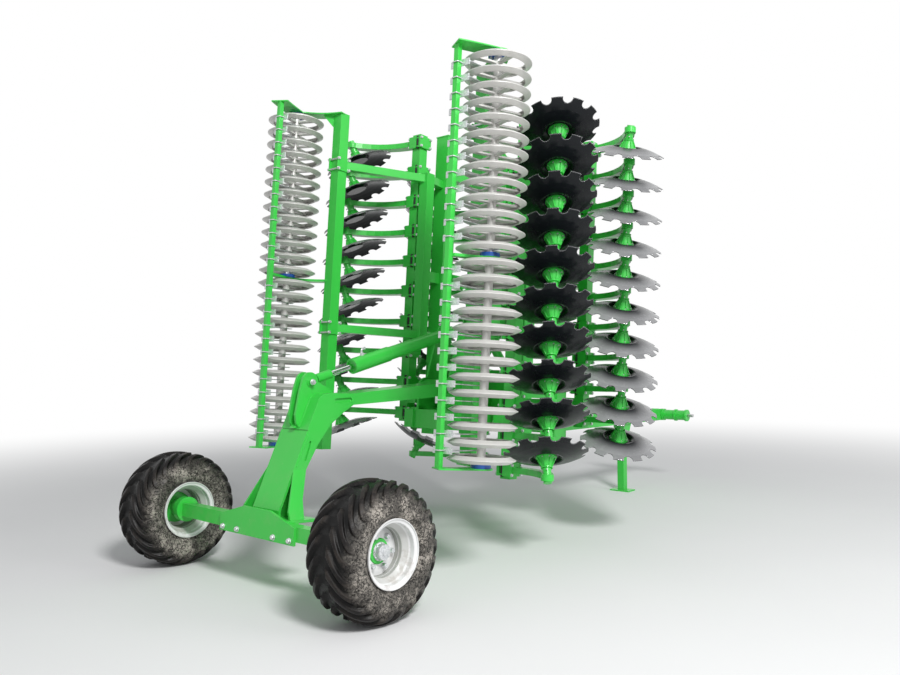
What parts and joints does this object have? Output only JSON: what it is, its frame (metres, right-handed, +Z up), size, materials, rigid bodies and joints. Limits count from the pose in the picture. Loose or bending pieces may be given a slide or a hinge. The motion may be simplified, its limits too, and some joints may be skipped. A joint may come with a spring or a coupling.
{
  "type": "folding disc harrow",
  "caption": "Towed disc harrow with two upright folded wings of notched discs and ring rollers, a rear transport axle on a lift arm, and a long drawbar",
  "frame": {"origin": "on the ground, midway along the machine's length and width", "axes": "+X towards the hitch, +Y to the machine's left, +Z up"},
  "size_m": [6.3633, 2.9712, 3.8733],
  "materials": {
    "green": "gloss",
    "ring": "light grey paint, satin",
    "rim": "satin",
    "disc": "high gloss",
    "bearing": "gloss",
    "zinc": "galvanised",
    "chrome": "polished",
    "tyre": "dusty rubber"
  },
  "bodies": {
    "frame": {"centre_frame": "green", "mast": "green", "drawbar": "green", "hitch_shaft": "green"},
    "parking_leg": {"parking_leg": "green"},
    "axle_arm": {"lift_arm": "green", "axle_shoe": "green", "axle_beam": "green"},
    "lift_barrel": {"lift_barrel": "green"},
    "lift_rod": {"lift_rod": "chrome"},
    "wheel_right": {"tyre_right": "tyre", "rim_right": "rim", "wheel_hub_right": "green"},
    "wing_right": {"wing_frame_right": "green", "disc_beams_right": "green", "disc_arms_right": "green", "arm_clamps_right": "green", "disc_hubs_right": "green", "rear_discs_right": "disc", "front_discs_right": "disc", "roller_frame_right": "green", "scraper_bar_right": "green", "scrapers_right": "zinc", "roller_bearings_right": "bearing"},
    "roller_right": {"roller_right": "ring"},
    "fold_barrel_right": {"fold_barrel_right": "green"},
    "fold_rod_right": {"fold_rod_right": "chrome"},
    "wheel_left": {"tyre_left": "tyre", "rim_left": "rim", "wheel_hub_left": "green"},
    "wing_left": {"wing_frame_left": "green", "disc_beams_left": "green", "disc_arms_left": "green", "arm_clamps_left": "green", "disc_hubs_left": "green", "rear_discs_left": "disc", "front_discs_left": "disc", "roller_frame_left": "green", "scraper_bar_left": "green", "scrapers_left": "zinc", "roller_bearings_left": "bearing"},
    "roller_left": {"roller_left": "ring"},
    "fold_barrel_left": {"fold_barrel_left": "green"},
    "fold_rod_left": {"fold_rod_left": "chrome"}
  },
  "joints": [
    {"name": "arm_lift", "type": "hinge", "parent": "frame", "child": "axle_arm", "pos_m": [-0.91014, 0, 1.32849], "axis": [0, 1, 0], "range_deg": [0, 26]},
    {"name": "leg_swing", "type": "hinge", "parent": "frame", "child": "parking_leg", "pos_m": [2.29104, 0, 0.62849], "axis": [0, 1, 0], "range_deg": [0, 85]},
    {"name": "lift_barrel_swing", "type": "hinge", "parent": "frame", "child": "lift_barrel", "pos_m": [-0.66601, 0, 1.8241], "axis": [0, 1, 0], "range_deg": [0, 21.83]},
    {"name": "lift_rod_slide", "type": "slide", "parent": "lift_barrel", "child": "lift_rod", "axis": [-0.9745, 0, -0.2245], "range_m": [-0.21912, 0]},
    {"name": "wheel_spin_right", "type": "hinge", "parent": "axle_arm", "child": "wheel_right", "pos_m": [-2.74482, -1.127, 0.437], "axis": [0, 1, 0], "continuous": true},
    {"name": "wing_fold_right", "type": "hinge", "parent": "frame", "child": "wing_right", "pos_m": [-0.38576, -0.32, 1.01158], "axis": [0.9962, 0, -0.0872], "range_deg": [0, 90]},
    {"name": "roller_spin_right", "type": "hinge", "parent": "wing_right", "child": "roller_right", "pos_m": [-1.73941, -1.169, 0.8911], "axis": [0.0872, 0, 0.9962], "continuous": true},
    {"name": "fold_barrel_swing_right", "type": "hinge", "parent": "frame", "child": "fold_barrel_right", "pos_m": [-0.08647, 0.28, 1.39194], "axis": [0.9962, 0, -0.0872], "range_deg": [0, 68.01]},
    {"name": "fold_rod_slide_right", "type": "slide", "parent": "fold_barrel_right", "child": "fold_rod_right", "axis": [0.0706, -0.5857, 0.8075], "range_m": [0, 0.84564]},
    {"name": "wheel_spin_left", "type": "hinge", "parent": "axle_arm", "child": "wheel_left", "pos_m": [-2.74482, 1.127, 0.437], "axis": [0, 1, 0], "continuous": true},
    {"name": "wing_fold_left", "type": "hinge", "parent": "frame", "child": "wing_left", "pos_m": [-0.38576, 0.32, 1.01158], "axis": [-0.9962, 0, 0.0872], "range_deg": [0, 90]},
    {"name": "roller_spin_left", "type": "hinge", "parent": "wing_left", "child": "roller_left", "pos_m": [-1.73941, 1.169, 0.8911], "axis": [0.0872, 0, 0.9962], "continuous": true},
    {"name": "fold_barrel_swing_left", "type": "hinge", "parent": "frame", "child": "fold_barrel_left", "pos_m": [-0.21598, -0.28, 1.40327], "axis": [-0.9962, 0, 0.0872], "range_deg": [0, 68.01]},
    {"name": "fold_rod_slide_left", "type": "slide", "parent": "fold_barrel_left", "child": "fold_rod_left", "axis": [0.0706, 0.5857, 0.8075], "range_m": [0, 0.84564]}
  ],
  "couplings": [
    {"joint": "lift_barrel_swing", "follows": "arm_lift", "ratio": 0.8392},
    {"joint": "lift_rod_slide", "follows": "arm_lift", "m_per_rad": -0.48266},
    {"joint": "fold_barrel_swing_right", "follows": "wing_fold_right", "ratio": 0.75552},
    {"joint": "fold_rod_slide_right", "follows": "wing_fold_right", "m_per_rad": 0.53829},
    {"joint": "fold_barrel_swing_left", "follows": "wing_fold_left", "ratio": 0.75552},
    {"joint": "fold_rod_slide_left", "follows": "wing_fold_left", "m_per_rad": 0.53829}
  ]
}
